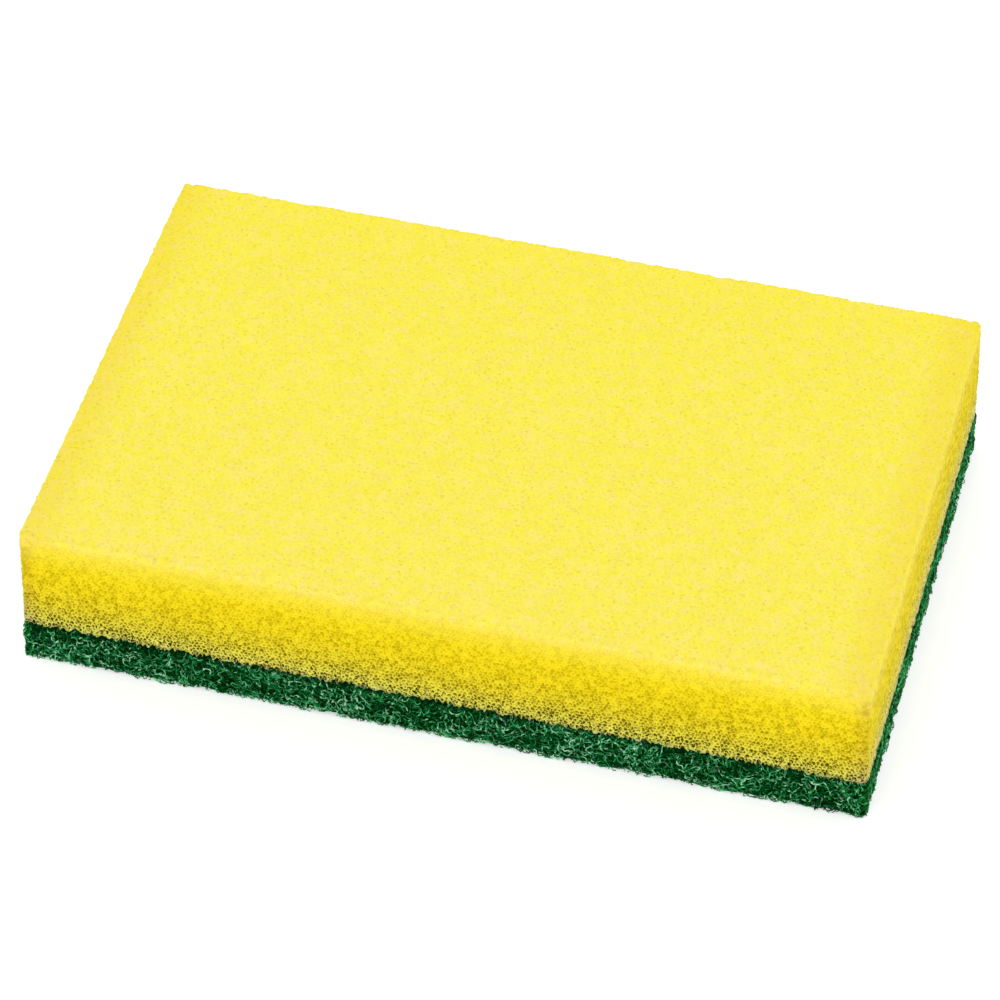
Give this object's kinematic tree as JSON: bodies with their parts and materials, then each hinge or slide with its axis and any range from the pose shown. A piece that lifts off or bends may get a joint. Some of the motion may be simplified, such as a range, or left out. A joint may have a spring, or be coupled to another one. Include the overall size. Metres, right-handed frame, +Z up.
{
  "type": "cleaning sponge",
  "caption": "Oblong cleaning sponge for washing up: a soft open-cell foam block bonded to a rough fibre scouring pad.",
  "frame": {"origin": "middle of the scouring pad's underside, at the centre of the outline", "axes": "+X along the length, +Y across the width, +Z up from the scouring pad through the foam"},
  "size_m": [0.14, 0.09, 0.028],
  "materials": {
    "foam": "matt yellow open-cell polyurethane foam, soft and porous",
    "scouring_fibre": "matt dark green nonwoven fibre web with a slight resin gloss on the fibres"
  },
  "bodies": {
    "root": {"foam_block": "foam", "scouring_pad": "scouring_fibre"}
  },
  "joints": []
}
